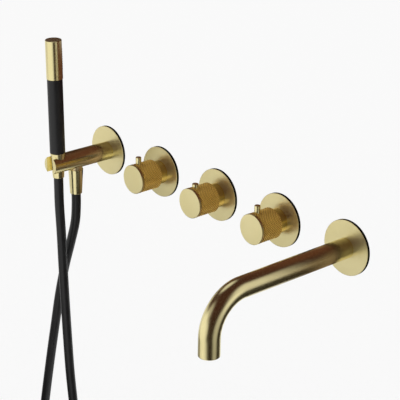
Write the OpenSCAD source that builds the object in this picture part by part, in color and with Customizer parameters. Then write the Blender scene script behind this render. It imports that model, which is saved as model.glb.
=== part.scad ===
// Five-hole wall set for a bath: a shower outlet that also holds the hand shower, two flow
// valves with a thermostat between them, and a spout. Sizes are in millimetres and +Z is up.
// The wall is the plane y = 0 and the set stands out of it towards -Y. The origin is where
// the thermostat's axis meets the wall.

/* [Layout] */
// Distance from one wall hole to the next
hole_pitch = 120; // [100:1:160]

/* [Roses] */
// Diameter of a wall rose
rose_d = 74; // [60:1:90]
// Thickness of a wall rose
rose_t = 4.2; // [2.8:0.1:6]
// Bevel round the front edge of a wall rose
rose_bevel = 0.4; // [0.3:0.1:1.5]
// Width of the foam seal behind a rose
seal_w = 4; // [2:0.5:6]
// Thickness of the foam seal behind a rose
seal_t = 1.5; // [0.8:0.1:1.8]
// Distance from the edge of a rose to its seal
seal_inset = 3.5; // [3:0.5:8]

/* [Wall tails] */
// Outside diameter of the G1/2 thread behind the wall
tail_d = 20.955; // [20.9:0.005:21]
// Length of a tail behind the wall
tail_len = 16; // [16:1:30]
// Waterway through a tail
tail_bore = 17; // [15:0.1:18]
// Diameter of the shoulder that passes through a rose
shoulder_d = 26; // [22:0.5:26]
// Reach of a tail into the arm or the spout
nipple_len = 24; // [18:1:40]
// Diameter of the set screw that locks the arm or the spout
set_screw_d = 5; // [3:0.5:6]
// Distance from the rose to that set screw
set_screw_z = 11; // [6:1:16]

/* [Knobs] */
// Diameter of a knob
knob_d = 42; // [40:1:52]
// Length of a knob from its back to its face
knob_len = 36.9; // [36:0.1:50]
// Gap from the front of a rose to the back of a knob
knob_stand = 13.3; // [12:0.1:25]
// Wall of a knob's sleeve
knob_wall = 3; // [2:0.1:4]
// Depth of the hollow in the back of a knob
knob_recess = 6.5; // [5:0.1:8]
// Thickness of the web between a knob's sleeve and hub
web_t = 4; // [3:0.5:5]
// Diameter of a knob's hub
hub_d = 16; // [15:0.5:18]
// Thickness of the face disc
cap_t = 3.2; // [2:0.1:5]
// Bevel round the face disc
cap_bevel = 0.5; // [0.2:0.1:1]
// Width of the shadow groove behind the face disc
cap_groove = 1; // [0.5:0.1:2]
// Depth of the shadow groove behind the face disc
cap_groove_depth = 1.4; // [0.5:0.1:1.8]
// Diameter of the boss that holds the face disc in the hub
cap_boss_d = 11; // [10:0.5:12]
// Length of that boss
cap_boss_len = 4; // [2:0.5:4]
// Diameter of the neck collar behind a knob
collar_d = 34; // [30:1:36]
// Thickness of the collar's front lip
collar_lip = 1.5; // [1:0.1:3]

/* [Levers and stop button] */
// Diameter of a lever pin
lever_d = 8; // [6:0.5:10]
// Height of a lever pin above its sleeve
lever_h = 10.5; // [6:0.5:20]
// Round on top of a lever pin
lever_round = 0.8; // [0.4:0.1:2]
// Diameter of the threaded stem under a lever pin
lever_stem_d = 5; // [3:0.5:5.5]
// Distance from a knob's face to its lever or button
lever_back = 10.4; // [10.4:0.1:14]
// Diameter of the thermostat's stop button
button_d = 9; // [7:0.5:9]
// Height of the stop button above its sleeve
button_h = 5.5; // [4:0.5:10]
// Travel of the stop button
button_travel = 2.5; // [1:0.1:2.5]
// Width of the rim that keeps the stop button in
button_rim = 1; // [0.6:0.1:1]
// Thickness of that rim
button_rim_t = 2; // [1:0.1:2]
// Wire of the button's spring
spring_wire = 0.7; // [0.5:0.1:0.8]
// Middle diameter of the button's spring
spring_d = 4.4; // [4:0.1:4.8]
// Turns of the button's spring
spring_turns = 6; // [4:1:7]

/* [Valves] */
// Diameter of a spindle in its neck
spindle_d = 10; // [9:0.5:11]
// Diameter of a spindle in its knob
spline_d = 8; // [7:0.5:9]
// Diameter of a headwork's neck
neck_d = 18; // [16:0.5:20]
// Thickness of the roof over a valve's chamber
roof_t = 4; // [3:0.5:6]
// Thickness of the seat seal or of the thermostat's retaining ring
seat_t = 4; // [2:0.5:4]
// Thickness of one ceramic disc
disc_t = 3.5; // [2:0.5:4]
// Diameter of one water hole in a ceramic disc
disc_hole_d = 4.4; // [3:0.2:5]
// Diameter of the screw that holds a knob
screw_d = 4; // [3:0.5:5]
// Diameter of that screw's head
screw_head_d = 8; // [7:0.5:9]
// Height of that screw's head
screw_head_t = 3; // [2:0.5:3]
// Length of that screw under its head
screw_len = 12; // [8:1:14]
// Diameter of the wax element
wax_d = 9; // [7:0.5:10]
// Length of the wax element
wax_len = 12; // [9:0.5:12]
// Length of the shuttle sleeve
shuttle_len = 6; // [4:0.5:6]
// Wire of the shuttle's return spring
return_wire = 1.2; // [0.8:0.1:1.4]
// Turns of the shuttle's return spring
return_turns = 3; // [2:1:4]

/* [Shower outlet] */
// Diameter of the holder arm
arm_d = 27; // [25:0.5:32]
// Distance from the wall to the front of the arm
arm_len = 110; // [104:1:130]
// Waterway through the arm
arm_bore = 20; // [18:0.5:21]
// Distance from the front of the arm back to the hand shower's seat
seat_inset = 14; // [13:0.5:15]
// Forward lean of the hand shower, in degrees
hand_lean = 1.2; // [0:0.1:3]
// Distance from the wall to the hose outlet
outlet_y = 64; // [58:1:66]
// Diameter of the outlet's boss under the arm
boss_d = 20; // [18.5:0.5:20]
// Distance from the arm's axis down to the top of the outlet's nut
outlet_drop = 15; // [15:0.1:20]
// Diameter of the check valve
check_d = 11; // [9:0.5:12]
// Length of the check valve
check_len = 12; // [8:0.5:14]

/* [Hose ends] */
// Outside diameter of the hose
hose_d = 14; // [12:0.5:15]
// Outside diameter of the G3/8 thread of a hose connection
hose_thread_d = 16.66; // [16.6:0.01:16.7]
// Wide end of the outlet's nut
outlet_nut_d = 22; // [21:0.1:24]
// Narrow end of the outlet's nut
outlet_nut_end_d = 17.8; // [17.4:0.1:20]
// Length of the outlet's nut
outlet_nut_len = 38; // [36:1:46]
// Wide end of the hand shower's nut
hand_nut_d = 22; // [21:0.1:24]
// Narrow end of the hand shower's nut
hand_nut_end_d = 16.6; // [16.6:0.1:19]
// Length of the hand shower's nut
hand_nut_len = 38; // [36:1:46]
// Height of the top of the hand shower's nut above the arm's axis
hand_nut_top = 17.5; // [15:0.5:18]
// Depth of the thread inside a nut
nut_thread = 17.5; // [16:0.5:18]
// Length of the waist inside a nut
nut_waist = 7.5; // [5:0.5:8]
// Diameter of a hose ferrule's stem
ferrule_d = 12; // [10:0.5:12]
// Thickness of a hose ferrule's flange
ferrule_t = 2.8; // [2:0.1:4]
// Waterway through a ferrule and a washer
ferrule_bore = 8; // [6:0.5:8.5]
// Thickness of a hose washer
washer_t = 1.8; // [1.5:0.1:3]
// Length of hose inside a nut
hose_insert = 6; // [6:0.5:8]

/* [Hand shower] */
// Diameter of the black grip
grip_d = 22.4; // [21:0.1:26]
// Length of the black grip
grip_len = 112; // [80:1:140]
// Diameter of the tube inside the grip
stem_d = 16; // [14:0.5:16.6]
// Waterway through that tube
stem_bore = 10; // [8:0.5:12]
// Diameter of the brass head
head_d = 23.6; // [23:0.1:28]
// Length of the brass head without its cap
head_len = 55; // [54:1:90]
// Wall of the brass head
head_wall = 1.8; // [1.5:0.1:2.5]
// Thickness of the head's floor
head_floor = 3; // [2:0.5:5]
// Thickness of the head's cap
head_cap_t = 2; // [1.5:0.1:4]
// Depth of the cap's plug in the head
head_plug = 3; // [2:0.5:4]
// Width of the spray plate
spray_w = 13; // [10:0.5:14]
// Height of the spray plate
spray_h = 42; // [30:1:42]
// Height of a spray nozzle above its plate
nozzle_h = 0.8; // [0.4:0.1:1.2]
// Diameter of a spray nozzle
nozzle_d = 1.8; // [1.2:0.1:2]
// Spacing of the spray nozzles
nozzle_step = 3.6; // [3.2:0.1:4]

/* [Spout] */
// Diameter of the spout
spout_d = 27; // [26.5:0.1:32]
// Waterway through the spout
spout_bore = 22; // [21:0.5:23]
// Distance from the wall to the spout's outlet
spout_reach = 237; // [180:1:260]
// Bend of the spout's middle line
spout_bend = 51; // [40:1:54]
// Distance from the spout's axis down to its lip
spout_drop = 74; // [72:1:100]
// Bevel of the spout's lip
lip_bevel = 0.8; // [0.3:0.1:1.5]
// Length of the aerator's housing
aerator_len = 11; // [8:1:14]
// Depth of the aerator inside the lip
aerator_inset = 0.8; // [0.2:0.1:2]
// Wall of the aerator's housing
aerator_wall = 2; // [1.5:0.1:2.5]
// Thickness of the aerator's insert
core_t = 6; // [4:0.5:7]
// Diameter of one hole in the aerator's insert
core_hole_d = 2.2; // [1.6:0.1:2.4]
// Spacing of the holes in the aerator's insert
core_step = 3.3; // [3.1:0.1:3.6]

/* [Fits] */
// Radial gap of a piece that turns or slides in its bore
run_fit = 0.05; // [0.02:0.01:0.1]
// Radial gap between pieces that stay still once assembled
seat_fit = 0.1; // [0.05:0.01:0.15]
// Gap between pieces that move past each other
move_gap = 0.4; // [0.3:0.05:0.5]
// Gap between the hand shower's nut and its seat, square to the axis
cone_gap = 0.3; // [0.3:0.05:0.5]
// Spare width of the slot that lets the hose into the seat
slot_spare = 1; // [0.5:0.1:2]
// Radial gap of the hose in a nut's mouth
hose_fit = 0.3; // [0.3:0.05:0.4]

/* [Hidden] */
$fn = 72;

// Places of the five wall holes along the wall
outlet_x = -2 * hole_pitch;
shower_x = -hole_pitch;
thermostat_x = 0;
bath_x = hole_pitch;
spout_x = 2 * hole_pitch;

// How far a cutting shape runs past the face that it cuts
overrun = 1;

// Colours of the finishes
brass = "#c8ab6a";
black = "#1c1c1e";
rubber = "#2a2a2a";
steel = "#b8bcc0";
ceramic = "#e8e6e0";
copper = "#b87346";
white = "#e9e9e6";

// Heights above the wall along a knob's axis
collar_len = knob_stand - move_gap;
barrel_end = rose_t + collar_len - collar_lip - seat_fit;
chamber_end = barrel_end - roof_t;
knob_back = rose_t + knob_stand;
knob_face = knob_back + knob_len;
cap_back = knob_face - cap_t;
sleeve_end = cap_back - cap_groove;
web_back = knob_back + knob_recess;
neck_end = web_back - move_gap;
screw_seat = sleeve_end - cap_boss_len - screw_head_t - seat_fit;
spline_end = screw_seat - 0.75 * web_t;
lever_z = knob_face - lever_back;

// Radii of a knob
knob_r = knob_d / 2;
sleeve_r = knob_r - knob_wall;
hub_r = hub_d / 2;
lever_seat = sqrt(knob_r * knob_r - lever_d * lever_d / 4) - seat_fit;
rim_r = button_d / 2 + button_rim;
rim_top = sqrt(sleeve_r * sleeve_r - rim_r * rim_r) - move_gap;
rim_base = rim_top - button_rim_t;
button_well = rim_top + button_rim_t;

// Heights inside a valve's chamber
chamber_r = tail_bore / 2;
disc_back = seat_t - tail_len;
turning_back = disc_back + disc_t + run_fit;
foot_back = turning_back + disc_t;
foot_end = chamber_end - move_gap;
wax_gap = 0.6;
wax_end = foot_end - spindle_d / 2 - wax_gap;
wax_back = wax_end - wax_len;
shuttle_back = wax_back + wax_len / 12;

// Heights along a hose connection, measured down from the top of its nut
stub_len = nut_thread - ferrule_t - washer_t - 2 * seat_fit;
washer_z = stub_len + seat_fit;
flange_z = washer_z + washer_t;
thread_r = hose_thread_d / 2;
ferrule_r = ferrule_d / 2;
mouth_r = hose_d / 2 + hose_fit;
hose_gap = 0.3;

// Distance from the wall to the hand shower's seat
seat_y = arm_len - seat_inset;

// Heights along the hand shower, measured from the arm's axis
grip_z = hand_nut_top;
head_z = grip_z + grip_len;
cap_z = head_z + head_len;
head_r = head_d / 2;
head_bore_r = head_r - head_wall;
spray_z = (head_z + head_floor + cap_z - head_plug) / 2;
spray_seat = head_bore_r - seat_fit;

// Spout and aerator
spout_r = spout_d / 2;
aerator_r = spout_bore / 2 - seat_fit;
core_r = aerator_r - aerator_wall - seat_fit;

// Heights of the two ends of the hose, inside their nuts
outlet_end = -outlet_drop - outlet_nut_len + hose_insert;
hand_end = hand_nut_top - hand_nut_len + hose_insert;

// Bends of the hose from the outlet's nut to the hand shower's nut. Each has its distance to the
// side of the outlet, its share of the way from the outlet out to the seat, and its height
hose_bends = [
    [0, 0, -72], [-2, 0.03, -100], [-10, 0.125, -135], [-21, 0.22, -175], [-31, 0.345, -225],
    [-40, 0.44, -280], [-50, 0.53, -340], [-60, 0.625, -405], [-70, 0.69, -470],
    [-80, 0.75, -535], [-87, 0.75, -590], [-90, 0.75, -634], [-88, 0.75, -674],
    [-79, 0.75, -707], [-55, 0.75, -731], [-22, 0.75, -740], [11, 0.75, -731],
    [35, 0.75, -707], [44, 0.75, -674], [46, 0.75, -634], [42, 0.75, -590], [34, 0.75, -535],
    [26, 0.75, -470], [18, 0.75, -405], [12, 0.81, -340], [8, 0.845, -275], [5, 0.875, -215],
    [3, 0.905, -160], [2, 0.94, -110], [0, 0.97, -65], [0, 0.985, -35]
];
hose_route = [
    [outlet_x, -outlet_y, outlet_end],
    for (p = hose_bends) [outlet_x + p[0], -outlet_y - p[1] * (seat_y - outlet_y), p[2]],
    [outlet_x, -seat_y - hand_end * sin(hand_lean), hand_end * cos(hand_lean)]
];
hose_sides = 12;
hose_steps = 2;

// A point on the smooth curve through four neighbouring points, t from 0 to 1
function curve_point(a, b, c, d, t) =
    b + (c - a) * t / 2
    + (2 * a - 5 * b + 4 * c - d) * t * t / 2
    + (3 * b - a - 3 * c + d) * t * t * t / 2;

// The smooth curve through all points, with a number of steps between each two
function curve(p, steps) = [
    for (i = [0 : len(p) - 2], k = [0 : steps - 1])
        curve_point(p[max(i - 1, 0)], p[i], p[i + 1], p[min(i + 2, len(p) - 1)], k / steps),
    p[len(p) - 1]
];

function unit(v) = v / norm(v);

// Direction of a line of points at point i
function heading(p, i) = unit(p[min(i + 1, len(p) - 1)] - p[max(i - 1, 0)]);

// A closed tube of radius r swept along the points p, with its rings squared to the line and
// turned so that side points along the given direction
module swept_tube(p, r, sides, side) {
    rings = [
        for (i = [0 : len(p) - 1])
            let (t = heading(p, i), n = unit(cross(side, t)), b = cross(t, n))
            for (k = [0 : sides - 1])
                p[i] + r * (cos(360 * k / sides) * n + sin(360 * k / sides) * b)
    ];
    last = (len(p) - 1) * sides;
    walls = [
        for (i = [0 : len(p) - 2], k = [0 : sides - 1])
            let (a = i * sides + k, b = i * sides + (k + 1) % sides)
            for (f = [[a, b, b + sides], [a, b + sides, a + sides]]) f
    ];
    caps = [
        for (k = [1 : sides - 2])
            for (f = [[0, k + 1, k], [last, last + k, last + k + 1]]) f
    ];
    polyhedron(points = rings, faces = [for (f = concat(walls, caps)) [f[0], f[2], f[1]]]);
}

// A coil spring along +Z from z = 0, with its wire inside the height h
module coil(d, wire, turns, h) {
    per_turn = 12;
    steps = turns * per_turn;
    line = [
        for (i = [0 : steps])
            let (a = 360 * i / per_turn)
            [d / 2 * cos(a), d / 2 * sin(a), wire / 2 + (h - wire) * i / steps]
    ];
    swept_tube(line, wire / 2, 6, [0, 0, 1]);
}

// Turns a piece's own axis, +Z, out of the wall at one of the five holes
module at_hole(x) {
    translate([x, 0, 0]) rotate([90, 0, 0]) children();
}

// Puts a piece that hangs down from z = 0 on the hose outlet, with the nut's top at z = 0
module at_outlet() {
    translate([outlet_x, -outlet_y, -outlet_drop]) children();
}

// Puts a piece in the leaning axis of the hand shower's seat
module at_seat() {
    translate([outlet_x, -seat_y, 0]) rotate([hand_lean, 0, 0]) children();
}

// Puts a piece that hangs down from z = 0 in the hand shower's nut
module at_hand_nut() {
    at_seat() translate([0, 0, hand_nut_top]) children();
}

// A round piece from height z0 to z1
module round_bar(d, z0, z1) {
    translate([0, 0, z0]) cylinder(d = d, h = z1 - z0);
}

// A ring from height z0 to z1
module ring(d, bore, z0, z1) {
    difference() {
        round_bar(d, z0, z1);
        round_bar(bore, z0 - overrun, z1 + overrun);
    }
}

// A wall rose with its bevelled edge and the groove for its seal
module rose(x) {
    r = rose_d / 2;
    bore_r = shoulder_d / 2 + seat_fit;
    color(brass) at_hole(x) difference() {
        rotate_extrude() polygon([
            [bore_r, 0], [r, 0], [r, rose_t - rose_bevel], [r - rose_bevel, rose_t], [bore_r, rose_t]
        ]);
        ring(rose_d - 2 * seal_inset + 2 * seat_fit,
             rose_d - 2 * seal_inset - 2 * seal_w - 2 * seat_fit, -overrun, seal_t);
    }
}

module outlet_rose() { rose(outlet_x); }
module shower_rose() { rose(shower_x); }
module thermostat_rose() { rose(thermostat_x); }
module bath_rose() { rose(bath_x); }
module spout_rose() { rose(spout_x); }

module rose_seals() {
    color(rubber) for (x = [outlet_x, shower_x, thermostat_x, bath_x, spout_x]) at_hole(x)
        ring(rose_d - 2 * seal_inset, rose_d - 2 * seal_inset - 2 * seal_w, 0, seal_t);
}

// A tail with a nipple that the arm or the spout slides over
module tail(x, tube_bore) {
    color(brass) at_hole(x) difference() {
        union() {
            round_bar(tail_d, -tail_len, 0);
            round_bar(shoulder_d, 0, rose_t);
            round_bar(tube_bore - 2 * seat_fit, rose_t, rose_t + nipple_len);
        }
        round_bar(tail_bore, -tail_len - overrun, rose_t + nipple_len + overrun);
    }
}

module arm_tail() { tail(outlet_x, arm_bore); }
module spout_tail() { tail(spout_x, spout_bore); }

// The hole for the set screw in the underside of a tube
module set_screw_hole(tube_d) {
    translate([0, 0, rose_t + set_screw_z]) rotate([90, 0, 0])
        cylinder(d = set_screw_d + 2 * seat_fit, h = tube_d);
}

module set_screw(x, tube_d, tube_bore) {
    at_hole(x) translate([0, 0, rose_t + set_screw_z]) rotate([90, 0, 0]) difference() {
        round_bar(set_screw_d, tube_bore / 2, tube_d / 2 - 2 * seat_fit);
        translate([0, 0, tube_d / 2 - set_screw_d / 4])
            cylinder(d = set_screw_d / 2, h = set_screw_d, $fn = 6);
    }
}

module set_screws() {
    color(steel) {
        set_screw(outlet_x, arm_d, arm_bore);
        set_screw(spout_x, spout_d, spout_bore);
    }
}

// The arm is a tube to the outlet, and solid round the hand shower's seat
module holder_arm() {
    slot = hose_d + slot_spare;
    water_end = outlet_y + 0.55 * boss_d;
    color(brass) difference() {
        at_hole(outlet_x) difference() {
            round_bar(arm_d, rose_t, arm_len);
            round_bar(arm_bore, rose_t - overrun, water_end);
            set_screw_hole(arm_d);
        }
        translate([outlet_x, -outlet_y, -arm_d])
            cylinder(d = boss_d + 2 * seat_fit, h = arm_d);
        at_hand_nut() hand_nut_cone(cone_gap);
        at_seat() translate([-slot / 2, -arm_len, -arm_d]) cube([slot, arm_len, 2 * arm_d]);
    }
}

// The hand shower's nut as a cone, grown all round by a gap
module hand_nut_cone(gap) {
    translate([0, 0, -hand_nut_len])
        cylinder(d1 = hand_nut_end_d + 2 * gap, d2 = hand_nut_d + 2 * gap, h = hand_nut_len);
}

// The outlet's boss stands in the arm, and its threaded stub hangs in the nut
module outlet_spigot() {
    color(brass) at_outlet() difference() {
        union() {
            round_bar(boss_d, seat_fit, outlet_drop - arm_bore / 4);
            round_bar(hose_thread_d, -stub_len, seat_fit);
        }
        round_bar(check_d + 2 * seat_fit, -stub_len - overrun, outlet_drop);
    }
}

module check_valve() {
    color(white) at_outlet() difference() {
        round_bar(check_d, -stub_len + seat_fit, -stub_len + seat_fit + check_len);
        for (a = [0 : 90 : 270]) rotate([0, 0, a]) translate([check_d / 4, 0, -stub_len])
            cylinder(d = check_d / 5, h = 2 * check_len);
    }
}

// The stepped hole down through a hose nut, whose top is z = 0
module nut_hole(nut_len) {
    round_bar(hose_thread_d + 2 * seat_fit, -nut_thread, overrun);
    round_bar(ferrule_d + 2 * run_fit, -nut_thread - nut_waist, -nut_thread + overrun);
    round_bar(2 * mouth_r, -nut_len - overrun, -nut_thread - nut_waist);
}

// A flanged ferrule, whose stem runs through the nut's waist down to the end of the hose
module ferrule(nut_len) {
    stem_end = -nut_len + hose_insert + hose_gap;
    difference() {
        union() {
            round_bar(hose_thread_d, -flange_z - ferrule_t, -flange_z);
            round_bar(ferrule_d, stem_end, -flange_z - ferrule_t);
        }
        round_bar(ferrule_bore, stem_end - overrun, 0);
    }
}

module washer() { ring(hose_thread_d, ferrule_bore, -flange_z, -washer_z); }

module outlet_washer() { color(rubber) at_outlet() washer(); }
module outlet_ferrule() { color(brass) at_outlet() ferrule(outlet_nut_len); }
module hand_washer() { color(rubber) at_hand_nut() washer(); }
module hand_ferrule() { color(brass) at_hand_nut() ferrule(hand_nut_len); }

module outlet_nut() {
    color(brass) at_outlet() difference() {
        translate([0, 0, -outlet_nut_len])
            cylinder(d1 = outlet_nut_end_d, d2 = outlet_nut_d, h = outlet_nut_len);
        nut_hole(outlet_nut_len);
    }
}

module hand_nut() {
    color(brass) at_hand_nut() difference() {
        hand_nut_cone(0);
        nut_hole(hand_nut_len);
    }
}

module shower_hose() {
    color(black) swept_tube(curve(hose_route, hose_steps), hose_d / 2, hose_sides, [0, 1, 0]);
}

// The tube inside the grip, with the threaded stub that the nut screws onto
module hand_stem() {
    color(brass) at_seat() difference() {
        union() {
            round_bar(hose_thread_d, grip_z - stub_len, grip_z);
            round_bar(stem_d, grip_z, head_z + head_floor);
        }
        round_bar(stem_bore, grip_z - stub_len - overrun, head_z + head_floor + overrun);
    }
}

module hand_grip() {
    color(black) at_seat() ring(grip_d, stem_d + 2 * seat_fit, grip_z, head_z);
}

// The outline of the spray plate, grown all round by a gap and pointing out at the wall
module spray_block(gap) {
    w = spray_w + 2 * gap;
    rise = spray_h - spray_w;
    translate([0, 0, spray_z]) rotate([-90, 0, 0]) linear_extrude(head_d) union() {
        square([w, rise], center = true);
        for (end = [-1, 1]) translate([0, end * rise / 2]) circle(d = w);
    }
}

module hand_head() {
    color(brass) at_seat() difference() {
        round_bar(head_d, head_z, cap_z);
        round_bar(2 * head_bore_r, head_z + head_floor, cap_z + overrun);
        round_bar(stem_d + 2 * seat_fit, head_z - overrun, head_z + head_floor + overrun);
        spray_block(seat_fit);
    }
}

module head_cap() {
    color(brass) at_seat() rotate_extrude() polygon([
        [0, cap_z - head_plug], [head_bore_r - seat_fit, cap_z - head_plug],
        [head_bore_r - seat_fit, cap_z], [head_r, cap_z], [head_r, cap_z + head_cap_t * 0.7],
        [head_r - head_cap_t * 0.3, cap_z + head_cap_t], [0, cap_z + head_cap_t]
    ]);
}

// The spray plate fills the opening in the head, with a flange behind it and rows of nozzles
module spray_plate() {
    rows = floor((spray_h - spray_w) / nozzle_step / 2);
    color(black) at_seat() {
        intersection() {
            ring(head_d, 2 * spray_seat - 2 * head_wall, head_z, cap_z);
            spray_block(0);
        }
        for (row = [-rows : rows], column = [-1 : 1])
            translate([0, 0, spray_z + row * nozzle_step])
                rotate([-90, 0, column * nozzle_step / head_r * 180 / PI])
                    round_bar(nozzle_d, head_r - head_wall, head_r + nozzle_h);
    }
}

// A headwork: the tail behind the wall, the barrel through the rose and the neck in the knob
module headwork(x) {
    color(brass) at_hole(x) difference() {
        union() {
            round_bar(tail_d, -tail_len, 0);
            round_bar(shoulder_d, 0, barrel_end);
            round_bar(neck_d, barrel_end, neck_end);
        }
        round_bar(tail_bore, -tail_len - overrun, chamber_end);
        round_bar(spindle_d + 2 * run_fit, chamber_end - overrun, neck_end + overrun);
    }
}

module shower_headwork() { headwork(shower_x); }
module thermostat_housing() { headwork(thermostat_x); }
module bath_headwork() { headwork(bath_x); }

// The collar that covers a headwork, a cup with a hole for the neck
module collar(x) {
    color(brass) at_hole(x) difference() {
        round_bar(collar_d, rose_t, rose_t + collar_len);
        round_bar(shoulder_d + 2 * seat_fit, rose_t - overrun, rose_t + collar_len - collar_lip);
        round_bar(neck_d + 2 * seat_fit, rose_t, rose_t + collar_len + overrun);
    }
}

module shower_collar() { collar(shower_x); }
module thermostat_collar() { collar(thermostat_x); }
module bath_collar() { collar(bath_x); }

// A rubber ring at the back of a valve's chamber
module seat_ring(x) {
    at_hole(x) ring(tail_bore - 2 * seat_fit, tail_bore * 0.6, -tail_len, disc_back);
}

module shower_seat_seal() { color(rubber) seat_ring(shower_x); }
module bath_seat_seal() { color(rubber) seat_ring(bath_x); }
module retaining_ring() { color(brass) seat_ring(thermostat_x); }

// A ceramic disc with two water holes
module disc(x, gap, z0) {
    color(ceramic) at_hole(x) difference() {
        round_bar(tail_bore - 2 * gap, z0, z0 + disc_t);
        for (side = [-1, 1]) translate([side * tail_bore / 4, 0, 0])
            round_bar(disc_hole_d, z0 - overrun, z0 + disc_t + overrun);
    }
}

module shower_fixed_disc() { disc(shower_x, seat_fit, disc_back); }
module shower_turning_disc() { disc(shower_x, move_gap, turning_back); }
module bath_fixed_disc() { disc(bath_x, seat_fit, disc_back); }
module bath_turning_disc() { disc(bath_x, move_gap, turning_back); }

// A spindle: a foot in the chamber, a journal in the neck and a splined end in the knob
module spindle(x, foot_z) {
    color(brass) at_hole(x) difference() {
        union() {
            round_bar(tail_bore - 2 * move_gap, foot_z, foot_end);
            round_bar(spindle_d, foot_end, web_back);
            round_bar(spline_d, web_back, spline_end);
        }
        round_bar(screw_d, screw_seat - screw_len - overrun, spline_end + overrun);
    }
}

module shower_spindle() { spindle(shower_x, foot_back); }
module bath_spindle() { spindle(bath_x, foot_back); }
module thermostat_spindle() { spindle(thermostat_x, foot_end - spindle_d / 2); }

// A knob: the sleeve, the web and the hub, which is hollowed for the screw and the face disc
module knob_shell() {
    bore_r = spline_d / 2 + run_fit;
    recess_r = cap_boss_d / 2 + seat_fit;
    screw_r = screw_d / 2 + seat_fit;
    rotate_extrude() polygon([
        [bore_r, web_back], [sleeve_r, web_back], [sleeve_r, knob_back],
        [knob_r - cap_bevel, knob_back], [knob_r, knob_back + cap_bevel],
        [knob_r, sleeve_end], [sleeve_r, sleeve_end],
        [sleeve_r, web_back + web_t], [hub_r, web_back + web_t],
        [hub_r, sleeve_end], [recess_r, sleeve_end],
        [recess_r, screw_seat], [screw_r, screw_seat],
        [screw_r, spline_end], [bore_r, spline_end]
    ]);
}

// Stands a piece's own axis, +Z, straight up out of a knob at its lever
module at_lever() {
    translate([0, 0, lever_z]) rotate([-90, 0, 0]) children();
}

module lever_knob(x) {
    color(brass) at_hole(x) difference() {
        knob_shell();
        at_lever() round_bar(lever_stem_d + 2 * seat_fit, hub_r + overrun, knob_r);
        at_lever() round_bar(lever_d + 2 * seat_fit, lever_seat, knob_r + overrun);
    }
}

module shower_knob() { lever_knob(shower_x); }
module bath_knob() { lever_knob(bath_x); }

module thermostat_knob() {
    color(brass) at_hole(thermostat_x) difference() {
        knob_shell();
        at_lever() round_bar(button_d + 2 * run_fit, hub_r + overrun, knob_r + overrun);
    }
}

// The face disc, the step behind it that makes the shadow groove, and its boss
module knob_cap(x) {
    boss_r = cap_boss_d / 2;
    groove_r = knob_r - cap_groove_depth;
    color(brass) at_hole(x) rotate_extrude() polygon([
        [0, sleeve_end - cap_boss_len], [boss_r, sleeve_end - cap_boss_len],
        [boss_r, sleeve_end], [groove_r, sleeve_end], [groove_r, cap_back], [knob_r, cap_back],
        [knob_r, knob_face - cap_bevel], [knob_r - cap_bevel, knob_face], [0, knob_face]
    ]);
}

module shower_knob_cap() { knob_cap(shower_x); }
module thermostat_knob_cap() { knob_cap(thermostat_x); }
module bath_knob_cap() { knob_cap(bath_x); }

module knob_screw(x) {
    color(steel) at_hole(x) difference() {
        union() {
            round_bar(screw_head_d, screw_seat, screw_seat + screw_head_t);
            round_bar(screw_d - 2 * run_fit, screw_seat - screw_len, screw_seat);
        }
        translate([0, 0, screw_seat + screw_head_t / 2])
            cylinder(d = screw_d, h = screw_head_t, $fn = 6);
    }
}

module shower_knob_screw() { knob_screw(shower_x); }
module thermostat_knob_screw() { knob_screw(thermostat_x); }
module bath_knob_screw() { knob_screw(bath_x); }

// A lever pin, seated in a spot face of the sleeve
module lever(x) {
    r = lever_d / 2;
    stem_r = lever_stem_d / 2;
    top = knob_r + lever_h;
    color(brass) at_hole(x) at_lever() rotate_extrude() polygon([
        [0, sleeve_r], [stem_r, sleeve_r], [stem_r, lever_seat], [r, lever_seat],
        [r, top - lever_round], [r - lever_round / 3, top - lever_round / 3],
        [r - lever_round, top], [0, top]
    ]);
}

module shower_lever() { lever(shower_x); }
module bath_lever() { lever(bath_x); }

// The stop button, with a rim that keeps it in the sleeve and a well for its spring
module stop_button() {
    r = button_d / 2;
    top = knob_r + button_h;
    color(brass) at_hole(thermostat_x) at_lever() difference() {
        rotate_extrude() polygon([
            [0, rim_base], [rim_r, rim_base], [rim_r, rim_top], [r, rim_top],
            [r, top - lever_round], [r - lever_round / 3, top - lever_round / 3],
            [r - lever_round, top], [0, top]
        ]);
        round_bar(spring_d + spring_wire + 2 * move_gap, rim_base - overrun, button_well);
    }
}

module button_spring() {
    color(steel) at_hole(thermostat_x) at_lever() translate([0, 0, hub_r + seat_fit])
        coil(spring_d, spring_wire, spring_turns, button_well - hub_r - 2 * seat_fit);
}

// The wax element moves the shuttle, a sleeve that shares out hot and cold water
module wax_element() {
    color(copper) at_hole(thermostat_x) {
        round_bar(wax_d, wax_back, wax_end - wax_len / 3);
        round_bar(wax_d / 3, wax_end - wax_len / 3, wax_end);
    }
}

module thermostat_shuttle() {
    color(white) at_hole(thermostat_x)
        ring(tail_bore - 2 * run_fit, wax_d + 2 * seat_fit, shuttle_back, shuttle_back + shuttle_len);
}

module return_spring() {
    color(steel) at_hole(thermostat_x) translate([0, 0, disc_back + seat_fit])
        coil(tail_bore * 0.75, return_wire, return_turns, shuttle_back - disc_back - 2 * seat_fit);
}

// The middle line of the spout runs out of the wall, round its bend and down
module spout_bar(d, start, end) {
    straight = spout_reach - spout_bend;
    translate([0, -start, 0]) rotate([90, 0, 0]) cylinder(d = d, h = straight - start);
    translate([0, -straight, -spout_bend]) rotate([90, 0, 90]) rotate([0, 0, 90])
        rotate_extrude(angle = 90) translate([spout_bend, 0]) circle(d = d);
    translate([0, -spout_reach, -end]) cylinder(d = d, h = end - spout_bend);
}

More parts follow.
